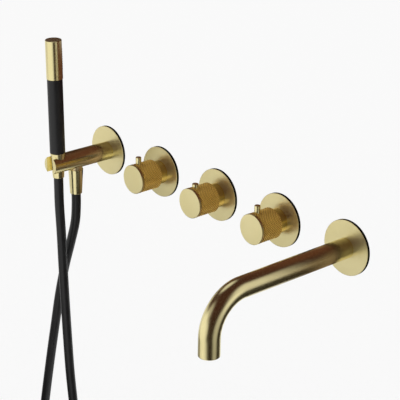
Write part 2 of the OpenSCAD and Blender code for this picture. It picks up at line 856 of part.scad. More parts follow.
module spout_tube() {
    color(brass) translate([spout_x, 0, 0]) difference() {
        union() {
            spout_bar(spout_d, rose_t, spout_drop - lip_bevel);
            translate([0, -spout_reach, -spout_drop])
                cylinder(d1 = spout_d - 2 * lip_bevel, d2 = spout_d, h = lip_bevel);
        }
        spout_bar(spout_bore, rose_t - overrun, spout_drop + overrun);
        rotate([90, 0, 0]) set_screw_hole(spout_d);
    }
}

// Puts a piece of the aerator on the spout's outlet, with z = 0 at the aerator's lower face
module at_spout_end() {
    translate([spout_x, -spout_reach, -spout_drop + aerator_inset]) children();
}

module aerator_housing() {
    color(brass) at_spout_end() ring(2 * aerator_r, 2 * (aerator_r - aerator_wall), 0, aerator_len);
}

module aerator_insert() {
    rings = floor((core_r - core_hole_d / 2 - 0.3 * aerator_wall) / core_step);
    color(white) at_spout_end() difference() {
        round_bar(2 * core_r, aerator_inset, aerator_inset + core_t);
        round_bar(core_hole_d, 0, aerator_len);
        for (i = [1 : rings], a = [0 : 60 / i : 359]) rotate([0, 0, a]) translate([i * core_step, 0, 0])
            round_bar(core_hole_d, 0, aerator_len);
    }
}

outlet_rose();
shower_rose();
thermostat_rose();
bath_rose();
spout_rose();
rose_seals();
holder_arm();
arm_tail();
outlet_spigot();
check_valve();
outlet_washer();
outlet_ferrule();
outlet_nut();
shower_hose();
hand_ferrule();
hand_washer();
hand_nut();
hand_stem();
hand_grip();
hand_head();
head_cap();
spray_plate();
shower_headwork();
shower_collar();
shower_seat_seal();
shower_fixed_disc();
shower_turning_disc();
shower_spindle();
shower_knob();
shower_knob_screw();
shower_knob_cap();
shower_lever();
thermostat_housing();
thermostat_collar();
retaining_ring();
return_spring();
thermostat_shuttle();
wax_element();
thermostat_spindle();
thermostat_knob();
thermostat_knob_screw();
thermostat_knob_cap();
stop_button();
button_spring();
bath_headwork();
bath_collar();
bath_seat_seal();
bath_fixed_disc();
bath_turning_disc();
bath_spindle();
bath_knob();
bath_knob_screw();
bath_knob_cap();
bath_lever();
spout_tube();
spout_tail();
aerator_housing();
aerator_insert();
set_screws();
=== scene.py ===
import math

import bmesh
import bpy
import numpy as np
from mathutils import Matrix, Vector


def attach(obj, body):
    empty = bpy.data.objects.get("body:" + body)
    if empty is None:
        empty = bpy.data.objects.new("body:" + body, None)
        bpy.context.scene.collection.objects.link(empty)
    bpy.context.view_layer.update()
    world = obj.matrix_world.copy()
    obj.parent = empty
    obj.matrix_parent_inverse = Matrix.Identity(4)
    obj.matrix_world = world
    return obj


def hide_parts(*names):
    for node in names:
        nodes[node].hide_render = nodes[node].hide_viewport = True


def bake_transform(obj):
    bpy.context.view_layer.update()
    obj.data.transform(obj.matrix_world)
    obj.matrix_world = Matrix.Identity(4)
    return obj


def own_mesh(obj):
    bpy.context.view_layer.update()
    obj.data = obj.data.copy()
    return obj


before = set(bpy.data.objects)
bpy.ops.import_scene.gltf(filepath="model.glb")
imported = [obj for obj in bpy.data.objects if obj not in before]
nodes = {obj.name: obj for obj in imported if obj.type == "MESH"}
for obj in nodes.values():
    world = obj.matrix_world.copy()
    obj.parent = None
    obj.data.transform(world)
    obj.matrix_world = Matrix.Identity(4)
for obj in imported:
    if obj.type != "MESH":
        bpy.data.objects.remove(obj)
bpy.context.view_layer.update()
scene = bpy.context.scene
scene.view_settings.view_transform = "Standard"


# Viewpoint
# The photograph looks down on the set from its right front through a long lens. The camera's
# place, turn and lens were worked out from the five equally spaced roses.
camera_place = Vector((1.33218, -1.26186, 0.71125))
camera_heading = math.radians(47.357)
camera_dip = math.radians(21.432)
camera_roll = 0.0182
camera_lens = 128.15
film_width = 36.0

camera = bpy.data.objects.new("camera", bpy.data.cameras.new("camera"))
camera.data.sensor_width = film_width
camera.data.lens = camera_lens
camera.matrix_world = (
    Matrix.Translation(camera_place)
    @ Matrix.Rotation(camera_heading, 4, "Z")
    @ Matrix.Rotation(math.pi / 2 - camera_dip, 4, "X")
    @ Matrix.Rotation(camera_roll, 4, "Z")
)
scene.collection.objects.link(camera)
scene.camera = camera


# Floor and studio
# A plain pale floor and white surroundings, which the metal mirrors too. Round the set stand dark
# flags with soft gaps between them, and behind it a wall that glows with painted shade. Only
# reflections show these.
white = (0.955, 0.955, 0.955)
floor_tone = (0.995, 0.995, 0.995)
floor_level = -0.80
floor_half = 8.0
square = ((-1, -1), (1, -1), (1, 1), (-1, 1))


def sheet(name, corners):
    """A flat sheet with these corners, which isn't part of the object."""
    mesh = bpy.data.meshes.new(name)
    mesh.from_pydata(corners, [], [(0, 1, 2, 3)])
    flat = bpy.data.objects.new(name, mesh)
    scene.collection.objects.link(flat)
    return flat


def only_mirrored(thing):
    """Shows a thing in reflections only, and keeps its shadow off the set."""
    thing.visible_camera = False
    thing.visible_diffuse = False
    thing.visible_transmission = False
    thing.visible_shadow = False


def new_finish(name):
    """A material with its main shader, a function that adds a node with its inputs, and one that
    links an output to the shader."""
    finish = bpy.data.materials.new(name)
    finish.use_nodes = True
    tree = finish.node_tree
    shader = tree.nodes["Principled BSDF"]

    def add(kind, inputs=(), **settings):
        node = tree.nodes.new("ShaderNode" + kind)
        for key, value in settings.items():
            setattr(node, key, value)
        for key, value in dict(inputs).items():
            if isinstance(value, bpy.types.NodeSocket):
                tree.links.new(value, node.inputs[key])
            else:
                node.inputs[key].default_value = value
        return node

    def link(output, socket):
        tree.links.new(output, shader.inputs[socket])

    return finish, shader, add, link


def veil(finish, add, cover, tone, strength=1.0):
    """Makes a finish that glows in a dark tone where the cover is 1 and is clear where it is 0. It
    isn't sampled as a lamp, because only reflections meet it."""
    finish.cycles.emission_sampling = "NONE"
    dark = add("Emission", {"Color": tone, "Strength": strength}).outputs[0]
    clear = add("BsdfTransparent").outputs[0]
    mixed = add("MixShader", {0: cover, 1: clear, 2: dark}).outputs[0]
    surface = finish.node_tree.nodes["Material Output"].inputs["Surface"]
    finish.node_tree.links.new(mixed, surface)


studio = bpy.data.worlds.new("studio")
studio.use_nodes = True
studio.node_tree.nodes["Background"].inputs["Color"].default_value = (*white, 1)
studio.cycles.sampling_method = "NONE"
scene.world = studio

floor = sheet("floor", [(x * floor_half, y * floor_half, floor_level) for x, y in square])
floor_finish, floor_shader, _, _ = new_finish("pale_floor")
floor_shader.inputs["Base Color"].default_value = (*floor_tone, 1)
floor_shader.inputs["Roughness"].default_value = 1.0
floor_shader.inputs["Specular IOR Level"].default_value = 0.0
floor.data.materials.append(floor_finish)


def worked(add, operation, *values, clamp=False):
    """The result of a Math node on these values, each a number or the output of a node."""
    return add("Math", dict(enumerate(values)), operation=operation, use_clamp=clamp).outputs[0]


def span(add, amount, start, end, low, high, kind="LINEAR"):
    """A number that runs from low to high as the amount goes from start to end."""
    return add("MapRange", {0: amount, 1: start, 2: end, 3: low, 4: high},
               interpolation_type=kind).outputs[0]


def two_tones(add, amount, low, high, dark, light):
    """A colour that runs from dark to light as the amount goes from low to high."""
    ramp = add("ValToRGB", {0: amount})
    for stop, place, colour in zip(ramp.color_ramp.elements, (low, high), (dark, light)):
        stop.position, stop.color = place, (*colour, 1)
    return ramp.outputs[0]


def towards(azimuth, height):
    """The direction at an azimuth, from the front (-Y) round to the right (+X), and a height."""
    a, h = math.radians(azimuth), math.radians(height)
    return (math.sin(a) * math.cos(h), -math.cos(a) * math.cos(h), math.sin(h))


def skinned(name, grid, runs, looped, knurled=None):
    """Covers a grid of points with faces. Row i is one closed ring, and ring i joins ring i + 1. A
    looped grid's last ring joins its first; otherwise each end ring is closed by a fan to its own
    middle. The UV map holds the share of the way round and the run, the distance along. Rings of
    the knurled range are split along alternate diagonals, so that every groove is an edge."""
    rings, sides = grid.shape[:2]
    points = grid.reshape(-1, 3)
    number = np.arange(rings * sides).reshape(rings, sides)
    onward = np.roll(number, -1, axis=1)
    upper = np.roll(np.arange(rings), -1) if looped else np.arange(1, rings)
    lower = np.arange(len(upper))
    quads = np.stack([number[lower], onward[lower], onward[upper], number[upper]], axis=-1)
    share = np.broadcast_to(np.arange(sides) / sides, (len(lower), sides))
    step = 1 / sides
    low_run = np.broadcast_to(runs[lower, None], share.shape)
    high_run = np.broadcast_to(runs[lower + 1, None], share.shape)
    quad_uv = np.stack([
        np.stack([share, low_run], -1), np.stack([share + step, low_run], -1),
        np.stack([share + step, high_run], -1), np.stack([share, high_run], -1),
    ], axis=2)
    split = np.zeros((len(lower), sides), bool)
    odd = np.zeros_like(split)
    if knurled:
        first, last = knurled
        split[first:last] = True
        odd[first:last] = (np.arange(last - first)[:, None] + np.arange(sides)) % 2 == 1
    halves = [(split & ~odd, (0, 1, 2)), (split & ~odd, (0, 2, 3)),
              (split & odd, (0, 1, 3)), (split & odd, (1, 2, 3))]
    triangles = [quads[rows][:, list(pick)] for rows, pick in halves]
    triangle_uv = [quad_uv[rows][:, list(pick)] for rows, pick in halves]
    flat_count = sum(len(t) for t in triangles)
    if not looped:
        middle = np.full(sides, len(points))
        fan_share = np.arange(sides) / sides
        for ring, run, turn in ((0, runs[0], True), (rings - 1, runs[rings - 1], False)):
            centre = grid[ring].mean(0)
            reach = np.linalg.norm(grid[ring] - centre, axis=1).mean()
            a, b = (onward[ring], number[ring]) if turn else (number[ring], onward[ring])
            triangles.append(np.stack([middle, a, b], -1))
            hub = run - reach if turn else run + reach
            sides_uv = (fan_share + step, fan_share) if turn else (fan_share, fan_share + step)
            triangle_uv.append(np.stack([
                np.stack([fan_share + step / 2, np.full(sides, hub)], -1),
                np.stack([sides_uv[0], np.full(sides, run)], -1),
                np.stack([sides_uv[1], np.full(sides, run)], -1),
            ], axis=1))
            points = np.concatenate([points, centre[None]])
            middle = middle + 1
    quads, quad_uv = quads[~split], quad_uv[~split]
    triangles, triangle_uv = np.concatenate(triangles), np.concatenate(triangle_uv)
    corners = np.concatenate([triangles, quads[:, :3], quads[:, [0, 2, 3]]])
    volume = np.einsum("ij,ij->", points[corners[:, 0]],
                       np.cross(points[corners[:, 1]], points[corners[:, 2]]))
    if volume < 0:
        quads, quad_uv = quads[:, ::-1], quad_uv[:, ::-1]
        triangles, triangle_uv = triangles[:, ::-1], triangle_uv[:, ::-1]
    mesh = bpy.data.meshes.new(name)
    mesh.from_pydata(points.tolist(), [], triangles.tolist() + quads.tolist())
    smooth = np.arange(len(triangles) + len(quads)) >= flat_count
    mesh.polygons.foreach_set("use_smooth", smooth)
    wrap = mesh.uv_layers.new(name="wrap")
    wrap.data.foreach_set("uv", np.concatenate(
        [triangle_uv.reshape(-1), quad_uv.reshape(-1)]).astype(np.float32))
    mesh.update()
    piece = bpy.data.objects.new(name, mesh)
    scene.collection.objects.link(piece)
    return piece


# Each gap between the flags: azimuth, height, angle of its even middle, angle where it ends, amount
flag_gaps = [
    (-18, -10, 14, 36, 1.0),
    (-46, -4, 12, 28, 0.70),
    (-4, 18, 10, 28, 0.45),
    (-78, 68, 10, 26, 0.75),
    (-96, -14, 16, 42, 0.90),
    (16, -6, 4, 18, 0.80),
    (19, -38, 9, 25, 1.0),
    (106, 14, 8, 34, 0.75),
    (84, -12, 6, 26, 0.50),
    (-165, -52, 10, 26, 0.90),
    (180, -4, 28, 50, 0.80),
]
flag_low, flag_high, flag_turn = (0.030, 0.025, 0.020), (0.055, 0.023, 0.017), 0.4
flag_radius, flag_reach, flag_rows, flag_sides = 0.85, math.radians(88), 45, 64
flag_heights = np.linspace(-flag_reach, flag_reach, flag_rows)
flag_angles = np.arange(flag_sides) * 2 * math.pi / flag_sides
flag_grid = flag_radius * np.stack([
    np.cos(flag_heights)[:, None] * np.cos(flag_angles),
    np.cos(flag_heights)[:, None] * np.sin(flag_angles),
    np.repeat(np.sin(flag_heights)[:, None], flag_sides, axis=1),
], axis=-1)
flag_runs = flag_radius * np.append(flag_heights, flag_heights[-1])
flags = skinned("flags", flag_grid, flag_runs, looped=False)
only_mirrored(flags)
flag_finish, _, add, _ = new_finish("dark_flags")
aim = add("VectorMath", {0: add("TexCoord").outputs["Object"]}, operation="NORMALIZE").outputs[0]
cover = 1.0
for azimuth, height, inner, outer, amount in flag_gaps:
    facing = add("VectorMath", {0: aim, 1: towards(azimuth, height)}, operation="DOT_PRODUCT")
    edges = math.cos(math.radians(outer)), math.cos(math.radians(inner))
    share = span(add, facing.outputs["Value"], *edges, 0.0, -amount, "SMOOTHSTEP")
    cover = worked(add, "ADD", cover, share, clamp=True)
aim_rise = span(add, add("SeparateXYZ", {0: aim}).outputs["Z"], -flag_turn, flag_turn, 0.0, 1.0)
flag_tone = two_tones(add, aim_rise, 0.0, 1.0, flag_low, flag_high)
veil(flag_finish, add, cover, flag_tone)
flags.data.materials.append(flag_finish)

# The wall glows with painted light and shade. It is darkest beside the roses, where they would
# shade it, lighter low down than high up, and darker far below the row and past its ends. It is
# open behind each rose, and fades out round the whole row
wall_level, wall_half = 0.0045, (0.47, 0.23)
wall_middle, wall_fade, rose_opening = 0.02, (0.10, 0.21), 0.038
wall_low, wall_high, wall_turn = (0.50, 0.37, 0.26), (0.11, 0.045, 0.03), (-0.005, 0.06)
mm = 0.001
hole_pitch = 120.0
row_pitch = hole_pitch * mm
wall = sheet("wall", [(x * wall_half[0], wall_level, z * wall_half[1]) for x, z in square])
only_mirrored(wall)
wall_finish, _, add, _ = new_finish("painted_shade_wall")


def far_from(add, across, up):
    """How far a point lies from the origin, by its distances across and up."""
    place = add("CombineXYZ", {0: across, 1: up}).outputs[0]
    return add("VectorMath", {0: place}, operation="LENGTH").outputs["Value"]


wall_place = add("SeparateXYZ", {0: add("TexCoord").outputs["Object"]}).outputs
past_row = worked(add, "SUBTRACT", worked(add, "ABSOLUTE", wall_place["X"]), 2 * row_pitch)
past_row = worked(add, "MAXIMUM", past_row, 0.0)
beside = worked(add, "WRAP", wall_place["X"], row_pitch / 2, -row_pitch / 2)
beside = worked(add, "MAXIMUM", worked(add, "ABSOLUTE", beside), past_row)
from_row = far_from(add, past_row, worked(add, "SUBTRACT", wall_place["Z"], wall_middle))
from_rose = far_from(add, beside, wall_place["Z"])
wall_cover = worked(add, "MULTIPLY", span(add, from_row, *wall_fade, 1.0, 0.0, "SMOOTHSTEP"),
                    worked(add, "GREATER_THAN", from_rose, rose_opening))
# The wall's painted tone: lighter low down, darker high up
wall_rise = span(add, wall_place["Z"], *wall_turn, 0.0, 1.0)
wall_painted_tone = two_tones(add, wall_rise, 0.0, 1.0, wall_low, wall_high)
# Each painted shade: how far away, the distances where it starts and ends, and the light that it
# leaves
wall_painted_shades = [(wall_place["Z"], -0.02, -0.10, 0.15), (past_row, 0.0, 0.08, 0.35),
               (from_rose, 0.062, 0.050, 0.0)]
wall_painted_light = 1.0
for away, start, end, left in wall_painted_shades:
    wall_painted_light = worked(add, "MULTIPLY", wall_painted_light, span(add, away, start, end, 1.0, left))
veil(wall_finish, add, wall_cover, wall_painted_tone, wall_painted_light)
wall.data.materials.append(wall_finish)


# Wall tails and headworks
# Turned brass bodies that pass through the wall, with a G1/2 thread behind it. Three of them hold
# the valves; the other two are nipples that the arm and the spout slide over.
hole_x = {"outlet": -2 * hole_pitch, "shower": -hole_pitch, "thermostat": 0.0,
          "bath": hole_pitch, "spout": 2 * hole_pitch}
thread_radius, thread_pitch, thread_depth = 10.4775, 1.814, 1.162
thread_start, thread_end = -15.4, -1.4
rows_per_thread = 8
bore_radius, shoulder_radius, tail_back = 8.5, 13.0, -16.0
rose_thickness, nipple_end = 4.2, 28.2
tail_ease, tail_sides = 0.3, 64
noise_range, noise_tones = (0.3, 0.7), (0.35, 0.65)
rim_rough, face_metal = 0.12, 0.94


def out_of_wall(x):
    """The seat of a piece on the wall: its origin and the axes u, v and w, with w out of the wall."""
    return np.array((x, 0, 0)), np.array((1, 0, 0)), np.array((0, 0, 1)), np.array((0, -1, 0))


def eased(corners, ease, looped=True):
    """Rounds an outline's corners. Corner V, between A and B, becomes a curve that bends at V, from
    V + d (A - V)/|A - V| to V + d (B - V)/|B - V|: (1-t)^2 start + 2t(1-t) V + t^2 end. A point
    before it and one after it keep the flats flat. d is the ease, or less beside a short edge."""
    corners = np.array(corners, float)
    back = np.roll(corners, 1, axis=0) - corners
    on = np.roll(corners, -1, axis=0) - corners
    back_length = np.linalg.norm(back, axis=1, keepdims=True)
    on_length = np.linalg.norm(on, axis=1, keepdims=True)
    back, on = back / back_length, on / on_length
    largest_share = 0.3
    reach = np.minimum(np.reshape(ease, (-1, 1)), largest_share * np.minimum(back_length, on_length))
    start, end = corners + reach * back, corners + reach * on
    t = np.linspace(0, 1, 5)[None, :, None]
    curve = ((1 - t) ** 2 * start[:, None] + 2 * t * (1 - t) * corners[:, None]
             + t ** 2 * end[:, None])
    hold = 1.6
    rounded = np.concatenate([(corners + hold * reach * back)[:, None], curve,
                              (corners + hold * reach * on)[:, None]], axis=1)
    if looped:
        return rounded.reshape(-1, 2)
    return np.concatenate([corners[:1], rounded[1:-1].reshape(-1, 2), corners[-1:]])


def ruled(outline, radius, heights):
    """Adds points at these heights to the outline's longest straight run at a radius, and gives
    the range of the added points too."""
    on_run = np.isclose(outline[:-1, 0], radius) & np.isclose(outline[1:, 0], radius)
    place = np.where(on_run, np.diff(outline[:, 1]), 0).argmax() + 1
    added = np.column_stack([np.full(len(heights), radius), heights])
    return np.insert(outline, place, added, axis=0), (place, place + len(heights) - 1)


def run_along(points):
    """The distance along a line of points, from 0 at the first of them."""
    return np.append(0, np.linalg.norm(np.diff(points, axis=0), axis=1).cumsum())


def turned(name, outline, seat, sides=96, looped=True, relief=None, knurled=None):
    """A piece turned on a lathe: each outline point (radius, height) is carried round the seat's
    axis. Ring point k lies at origin + radius (cos t u + sin t v) + height w, t = 2 pi k / sides,
    and a relief, worked out from t and the height, is added to the radius."""
    origin, u, v, w = seat
    angle = np.arange(sides) * 2 * math.pi / sides
    radius = np.repeat(outline[:, :1], sides, axis=1)
    if relief:
        radius = radius + relief(angle[None, :], outline[:, 1:], outline[:, :1])
    grid = (origin + radius[:, :, None] * (np.cos(angle)[None, :, None] * u
                                           + np.sin(angle)[None, :, None] * v)
            + outline[:, 1, None, None] * w) * mm
    closed = np.concatenate([outline, outline[:1] if looped else outline[-1:]])
    return skinned(name, grid, run_along(closed) * mm, looped, knurled)


def thread_relief(angle, height, radius):
    """A rounded right-hand thread: depth (cos(2 pi (height/pitch - t/2 pi)) - 1)/2, on the thread's
    own radius and fading out over one pitch at both of its ends."""
    fade = np.clip(np.minimum(height - thread_start, thread_end - height) / thread_pitch, 0, 1)
    on_thread = np.isclose(radius, thread_radius)
    wave = np.cos(2 * math.pi * height / thread_pitch - angle) - 1
    return on_thread * fade * thread_depth * wave / 2


def brass_finish(name, dark, light, rough, lines, line_depth, rim=None):
    """Brass with a satin finish: a cloudy tone, uneven gloss, and fine lines round the piece from
    its polishing, which follow the run of the UV map. A rim, given as the runs where it starts and
    ends, shines as it left the lathe, and the face beside it is brushed a little duller."""
    finish, shader, add, link = new_finish(name)
    place = add("TexCoord").outputs
    cloud = add("TexNoise", {"Vector": place["Object"], "Scale": 22.0, "Detail": 4.0}).outputs[0]
    patch = add("TexNoise", {"Vector": place["Object"], "Scale": 90.0, "Detail": 3.0}).outputs[0]
    stretch = add("Mapping", {"Vector": place["UV"], "Scale": (6.0, lines, 1.0)}).outputs[0]
    line = add("TexNoise", {"Vector": stretch, "Scale": 1.0, "Detail": 2.0}).outputs[0]
    link(two_tones(add, cloud, *noise_tones, dark, light), "Base Color")
    gloss = span(add, patch, *noise_range, *rough)
    shader.inputs["Metallic"].default_value = 1.0
    if rim:
        run = add("SeparateXYZ", {0: place["UV"]}).outputs["Y"]
        on_rim = worked(add, "COMPARE", run, (rim[0] + rim[1]) / 2, (rim[1] - rim[0]) / 2)
        gloss = span(add, on_rim, 0.0, 1.0, gloss, rim_rough)
        link(span(add, on_rim, 0.0, 1.0, face_metal, 1.0), "Metallic")
    link(gloss, "Roughness")
    bump = add("Bump", {"Strength": 0.3, "Distance": line_depth, "Height": line})
    link(bump.outputs[0], "Normal")
    return finish


def made(piece, finish, body, slot, *replaced):
    """Gives a piece its finish and the body that it moves with, and hides the nodes it stands for.
    Its slot is not used.
    """
    piece.data.materials.append(finish)
    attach(piece, body)
    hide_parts(*replaced)
    return piece


plain_brass = brass_finish("plain_brass", (0.70, 0.55, 0.29), (0.78, 0.63, 0.36),
                           rough=(0.26, 0.36), lines=2500.0, line_depth=0.00004)
threaded = [(bore_radius, tail_back), (thread_radius, tail_back), (thread_radius, 0),
            (shoulder_radius, 0)]
headwork_corners = [*threaded, (shoulder_radius, 15.5), (9, 15.5), (9, 23.6), (5.05, 23.6),
                    (5.05, 11.5), (bore_radius, 11.5)]


def nipple_corners(radius):
    """The outline of a tail whose nipple has this radius: the thread, the shoulder that passes
    through the rose, and the nipple in front of it."""
    return [*threaded, (shoulder_radius, rose_thickness), (radius, rose_thickness),
            (radius, nipple_end), (bore_radius, nipple_end)]


# Each tail: its node, its hole and its outline
tails = [
    ("shower_headwork", "shower", headwork_corners),
    ("thermostat_housing", "thermostat", headwork_corners),
    ("bath_headwork", "bath", headwork_corners),
    ("arm_tail", "outlet", nipple_corners(9.9)),
    ("spout_tail", "spout", nipple_corners(10.9)),
]
thread_rows = np.arange(thread_start, thread_end, thread_pitch / rows_per_thread)
for node, hole, corners in tails:
    outline, _ = ruled(eased(corners, tail_ease), thread_radius, thread_rows)
    made(turned("brass_" + node, outline, out_of_wall(hole_x[hole]), tail_sides,
                relief=thread_relief), plain_brass, "fixed_set", "plain_brass", node)


# Roses and their seals
# Five round cover plates of satin brass, 74 mm across with a thin bevel. Each is brushed in
# circles, has a bright turned rim, and presses a ring of black foam against the wall.
rose_radius, rose_bevel, rose_bore = 37.0, 0.4, 13.1
groove_inner, groove_outer, groove_depth = 29.4, 33.6, 1.5
rose_corners = [
    (rose_bore, 0), (groove_inner, 0), (groove_inner, groove_depth), (groove_outer, groove_depth),
    (groove_outer, 0), (rose_radius, 0), (rose_radius, rose_thickness - rose_bevel),
    (rose_radius - rose_bevel, rose_thickness), (rose_bore, rose_thickness),
]
rose_ease = [0.2, 0.1, 0.1, 0.1, 0.1, 0.2, 0.15, 0.15, 0.2]
rose_sides = 144
satin_dark, satin_light = (0.87, 0.765, 0.395), (0.91, 0.805, 0.435)
satin_lines, satin_depth = 3500.0, 0.00002


def satin_finish(name, rough, rim=None):
    """Brass in the tone of the whole set, with the fine lines of its satin polish."""
    return brass_finish(name, satin_dark, satin_light, rough, satin_lines, satin_depth, rim)


def moulded_finish(name, dark, light, rough, grain, grain_depth):
    """Plastic, rubber, foam or ceramic: a cloudy tone, uneven gloss and a fine grain over it."""
    finish, _, add, link = new_finish(name)
    place = add("TexCoord").outputs["Object"]
    cloud = add("TexNoise", {"Vector": place, "Scale": 40.0, "Detail": 3.0}).outputs[0]
    fine = add("TexNoise", {"Vector": place, "Scale": grain, "Detail": 2.0}).outputs[0]
    link(two_tones(add, cloud, *noise_tones, dark, light), "Base Color")
    link(span(add, cloud, *noise_range, *rough), "Roughness")
    bump = add("Bump", {"Strength": 0.25, "Distance": grain_depth, "Height": fine})
    link(bump.outputs[0], "Normal")
    return finish


rose_outline = eased(rose_corners, rose_ease)
rose_rim = run_along(rose_outline)[np.isclose(rose_outline[:, 0], rose_radius)] * mm
rose_brass = satin_finish("rose_brass", rough=(0.31, 0.36), rim=(rose_rim[0], rose_rim[-1]))
foam = moulded_finish("seal_foam", (0.016, 0.016, 0.016), (0.03, 0.03, 0.03), rough=(0.8, 0.95),
                      grain=900.0, grain_depth=0.0003)
for place, x in hole_x.items():
    made(turned("rose_" + place, rose_outline, out_of_wall(x), rose_sides), rose_brass,
         "fixed_set", "satin_brass", place + "_rose")


def dress(finish, *names):
    """Gives CAD nodes that show as they are their finish."""
    for name in names:
        nodes[name].material_slots[0].material = finish


dress(foam, "rose_seals")


# Shower outlet and holder
# The arm is a thick brass tube with a slotted seat for the hand shower at its end. Under it hangs
# the outlet: a threaded spigot with a check valve, a ferrule with its washer, and a conical nut.
outlet_out, outlet_drop = 64.0, 15.0
drawn_brass = satin_finish("drawn_brass", rough=(0.22, 0.26))
bright_brass = satin_finish("bright_brass", rough=(0.17, 0.23))
rubber = moulded_finish("rubber", (0.02, 0.02, 0.02), (0.035, 0.035, 0.035), rough=(0.55, 0.7),
                        grain=1500.0, grain_depth=0.00005)
white_plastic = moulded_finish("white_plastic", (0.80, 0.80, 0.77), (0.87, 0.87, 0.85),
                               rough=(0.35, 0.5), grain=1800.0, grain_depth=0.00002)


def steel_finish(name, dark, light, rough):
    """Stainless steel or copper: a slightly cloudy bare metal with an uneven gloss."""
    finish, shader, add, link = new_finish(name)
    place = add("TexCoord").outputs["Object"]
    cloud = add("TexNoise", {"Vector": place, "Scale": 150.0, "Detail": 4.0}).outputs[0]
    link(two_tones(add, cloud, *noise_tones, dark, light), "Base Color")
    link(span(add, cloud, *noise_range, *rough), "Roughness")
    shader.inputs["Metallic"].default_value = 1.0
    return finish


steel = steel_finish("steel", (0.52, 0.53, 0.54), (0.64, 0.65, 0.66), rough=(0.22, 0.34))
dress(drawn_brass, "holder_arm")
dress(plain_brass, "outlet_spigot", "outlet_ferrule")
dress(white_plastic, "check_valve")
dress(rubber, "outlet_washer")
dress(steel, "set_screws")


def upright(x, y, z, lean=0.0):
    """The seat of a piece that stands up at a point, leaning out of the wall by an angle."""
    w = np.array((0, -math.sin(lean), math.cos(lean)))
    u = np.array((1.0, 0, 0))
    return np.array((x, y, z)), u, np.cross(w, u), w


outlet_nut_corners = [(7.3, -38), (8.9, -38), (11, 0), (8.43, 0), (8.43, -17.5), (6.05, -17.5),
                      (6.05, -25), (7.3, -25)]
nut_ease = 0.35
outlet_seat = upright(hole_x["outlet"], -outlet_out, -outlet_drop)
made(turned("nut_outlet", eased(outlet_nut_corners, nut_ease), outlet_seat), bright_brass,
     "fixed_set", "satin_brass", "outlet_nut")


# Hand shower
# A slim hand shower that stands in the arm's seat on its conical nut. A brass tube runs through
# the black grip into the brass head, whose spray plate of black silicone faces the wall.
seat_out, hand_lean = 96.0, math.radians(1.2)
hand_seat = upright(hole_x["outlet"], -seat_out, 0, hand_lean)
hand_nut_corners = [(7.3, -20.5), (8.3, -20.5), (11, 17.5), (8.43, 17.5), (8.43, 0), (6.05, 0),
                    (6.05, -7.5), (7.3, -7.5)]
grip_corners = [(8.1, 17.5), (11.2, 17.5), (11.2, 129.5), (8.1, 129.5)]
grip_ease = 0.6
black_grip = moulded_finish("black_grip", (0.0045, 0.0045, 0.0048), (0.0075, 0.0075, 0.0080),
                            rough=(0.40, 0.48), grain=2200.0, grain_depth=0.00003)
made(turned("nut_hand", eased(hand_nut_corners, nut_ease), hand_seat), bright_brass,
     "hand_shower", "satin_brass", "hand_nut")
made(turned("grip", eased(grip_corners, grip_ease), hand_seat), black_grip, "hand_shower",
     "black_grip", "hand_grip")
dress(plain_brass, "hand_ferrule", "hand_stem")
dress(rubber, "hand_washer")
dress(drawn_brass, "hand_head", "head_cap")
dress(black_grip, "spray_plate")


# Hose
# A smooth black plastic hose, 14 mm across and 1.5 m long. It leaves the outlet's nut, hangs in
# one loop below the set and goes back up into the nut under the hand shower.
hose_radius = 0.007
outlet_x, outlet_y, seat_y = hole_x["outlet"] * mm, -outlet_out * mm, -seat_out * mm
hose_start = (outlet_x, outlet_y, -0.047)
hose_top = (outlet_x, -0.0957, -0.0145)
# Each bend: distance to the side of the outlet, share of the way out to the seat, height
hose_bends = np.array([
    (0, 0, -0.072), (-0.002, 0.03, -0.1), (-0.01, 0.125, -0.135), (-0.021, 0.22, -0.175),
    (-0.031, 0.345, -0.225), (-0.04, 0.44, -0.28), (-0.05, 0.53, -0.34), (-0.06, 0.625, -0.405),
    (-0.07, 0.69, -0.47), (-0.08, 0.75, -0.535), (-0.087, 0.75, -0.59), (-0.09, 0.75, -0.634),
    (-0.088, 0.75, -0.674), (-0.079, 0.75, -0.707), (-0.055, 0.75, -0.731),
    (-0.022, 0.75, -0.74), (0.011, 0.75, -0.731), (0.035, 0.75, -0.707), (0.044, 0.75, -0.674),
    (0.046, 0.75, -0.634), (0.042, 0.75, -0.59), (0.034, 0.75, -0.535), (0.026, 0.75, -0.47),
    (0.018, 0.75, -0.405), (0.012, 0.81, -0.34), (0.008, 0.845, -0.275), (0.005, 0.875, -0.215),
    (0.003, 0.905, -0.16), (0.002, 0.94, -0.11), (0, 0.97, -0.065), (0, 0.985, -0.035),
])


def smooth_route(points, steps):
    """The smooth curve through all points: between b and c, with neighbours a and d, it is
    b + (c - a) t/2 + (2a - 5b + 4c - d) t^2/2 + (3b - a - 3c + d) t^3/2, t from 0 to 1."""
    around = np.concatenate([points[:1], points, points[-1:]])
    a, b, c, d = (around[k:len(points) - 1 + k, None] for k in range(4))
    t = (np.arange(steps) / steps)[None, :, None]
    curve = (
        b + (c - a) * t / 2
        + (2 * a - 5 * b + 4 * c - d) * t ** 2 / 2
        + (3 * b - a - 3 * c + d) * t ** 3 / 2
    )
    return np.concatenate([curve.reshape(-1, 3), points[-1:]])


def tube(name, line, radius, sides, square_to=(0.0, 1.0, 0.0)):
    """A round tube along a line of points: ring point k lies at p + r (cos t n + sin t b), where n
    is square to the line and to a fixed direction, b to the line and n, and t = 2 pi k / sides."""
    heading = np.gradient(line, axis=0)
    heading /= np.linalg.norm(heading, axis=1, keepdims=True)
    across = np.cross(square_to, heading)
    across /= np.linalg.norm(across, axis=1, keepdims=True)
    beside = np.cross(heading, across)
    angle = np.arange(sides) * 2 * math.pi / sides
    grid = line[:, None] + radius * (
        np.cos(angle)[None, :, None] * across[:, None]
        + np.sin(angle)[None, :, None] * beside[:, None]
    )
    runs = run_along(line)
    return skinned(name, grid, np.append(runs, runs[-1]), looped=False)


